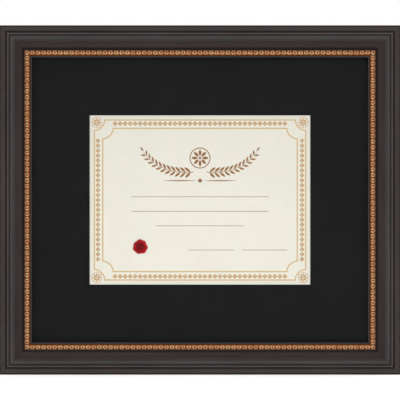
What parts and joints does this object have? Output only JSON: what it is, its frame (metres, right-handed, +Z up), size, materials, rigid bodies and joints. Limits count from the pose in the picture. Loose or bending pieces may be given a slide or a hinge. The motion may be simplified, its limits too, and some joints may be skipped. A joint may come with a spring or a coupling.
{
  "type": "picture frame",
  "caption": "Wall-hung certificate frame: dark mitred moulding with a gilt beaded inner band, black window mat behind glass, turn-button back and D-ring hangers.",
  "frame": {"origin": "on the wall plane, behind the middle of the frame", "axes": "+X to the right and +Z up as seen from the front, +Y into the wall; the front faces -Y"},
  "size_m": [0.4954, 0.032, 0.4318],
  "materials": {
    "moulding": "dark mahogany stain, satin, rubbed reddish in the grooves",
    "gilt": "aged gold leaf over pressed composition, dark toner in the hollows",
    "glass": "clear picture glass",
    "mat": "matt black, solid black core",
    "sheet": "ivory parchment paper",
    "linen_tape": "white linen tape",
    "foam_board": "white paper-faced foam",
    "hardboard": "brown hardboard, smooth face out",
    "zinc_plate": "zinc-plated steel",
    "brass_plate": "brass-plated screw",
    "rubber": "soft dark rubber"
  },
  "bodies": {
    "frame": {"rail_top": "moulding", "rail_bottom": "moulding", "rail_left": "moulding", "rail_right": "moulding", "gilt_bead_top": "gilt", "gilt_bead_bottom": "gilt", "gilt_bead_left": "gilt", "gilt_bead_right": "gilt", "glazing": "glass", "mat_board": "mat", "certificate_sheet": "sheet", "hinge_tape_left": "linen_tape", "hinge_tape_right": "linen_tape", "mounting_board": "foam_board", "backing_board": "hardboard", "turn_button_screw_top_1": "brass_plate", "turn_button_screw_top_2": "brass_plate", "turn_button_screw_bottom_1": "brass_plate", "turn_button_screw_bottom_2": "brass_plate", "turn_button_screw_left_1": "brass_plate", "turn_button_screw_left_2": "brass_plate", "turn_button_screw_right_1": "brass_plate", "turn_button_screw_right_2": "brass_plate", "v_nail_bottom_left_outer": "zinc_plate", "v_nail_bottom_left_inner": "zinc_plate", "v_nail_bottom_right_outer": "zinc_plate", "v_nail_bottom_right_inner": "zinc_plate", "v_nail_top_left_outer": "zinc_plate", "v_nail_top_left_inner": "zinc_plate", "v_nail_top_right_outer": "zinc_plate", "v_nail_top_right_inner": "zinc_plate", "hanger_strap_left": "zinc_plate", "hanger_strap_right": "zinc_plate", "hanger_screw_left": "brass_plate", "hanger_screw_right": "brass_plate", "wall_bumper_left": "rubber", "wall_bumper_right": "rubber"},
    "button_top_1": {"turn_button_top_1": "zinc_plate"},
    "button_top_2": {"turn_button_top_2": "zinc_plate"},
    "button_bottom_1": {"turn_button_bottom_1": "zinc_plate"},
    "button_bottom_2": {"turn_button_bottom_2": "zinc_plate"},
    "button_left_1": {"turn_button_left_1": "zinc_plate"},
    "button_left_2": {"turn_button_left_2": "zinc_plate"},
    "button_right_1": {"turn_button_right_1": "zinc_plate"},
    "button_right_2": {"turn_button_right_2": "zinc_plate"},
    "ring_left": {"hanger_ring_left": "zinc_plate"},
    "ring_right": {"hanger_ring_right": "zinc_plate"}
  },
  "joints": [
    {"name": "button_top_1_turn", "type": "hinge", "parent": "frame", "child": "button_top_1", "pos_m": [0.11, -0.0043, 0.19157], "axis": [0, 1, 0], "continuous": true},
    {"name": "button_top_2_turn", "type": "hinge", "parent": "frame", "child": "button_top_2", "pos_m": [-0.11, -0.0043, 0.19157], "axis": [0, 1, 0], "continuous": true},
    {"name": "button_bottom_1_turn", "type": "hinge", "parent": "frame", "child": "button_bottom_1", "pos_m": [-0.11, -0.0043, -0.19157], "axis": [0, 1, 0], "continuous": true},
    {"name": "button_bottom_2_turn", "type": "hinge", "parent": "frame", "child": "button_bottom_2", "pos_m": [0.11, -0.0043, -0.19157], "axis": [0, 1, 0], "continuous": true},
    {"name": "button_left_1_turn", "type": "hinge", "parent": "frame", "child": "button_left_1", "pos_m": [-0.22332, -0.0043, 0.06], "axis": [0, 1, 0], "continuous": true},
    {"name": "button_left_2_turn", "type": "hinge", "parent": "frame", "child": "button_left_2", "pos_m": [-0.22332, -0.0043, -0.06], "axis": [0, 1, 0], "continuous": true},
    {"name": "button_right_1_turn", "type": "hinge", "parent": "frame", "child": "button_right_1", "pos_m": [0.22332, -0.0043, -0.06], "axis": [0, 1, 0], "continuous": true},
    {"name": "button_right_2_turn", "type": "hinge", "parent": "frame", "child": "button_right_2", "pos_m": [0.22332, -0.0043, 0.06], "axis": [0, 1, 0], "continuous": true},
    {"name": "ring_left_swing", "type": "hinge", "parent": "frame", "child": "ring_left", "pos_m": [-0.23067, -0.0025, 0.11793], "axis": [-1, 0, 0], "range_deg": [0, 180]},
    {"name": "ring_right_swing", "type": "hinge", "parent": "frame", "child": "ring_right", "pos_m": [0.23067, -0.0025, 0.11793], "axis": [-1, 0, 0], "range_deg": [0, 180]}
  ]
}
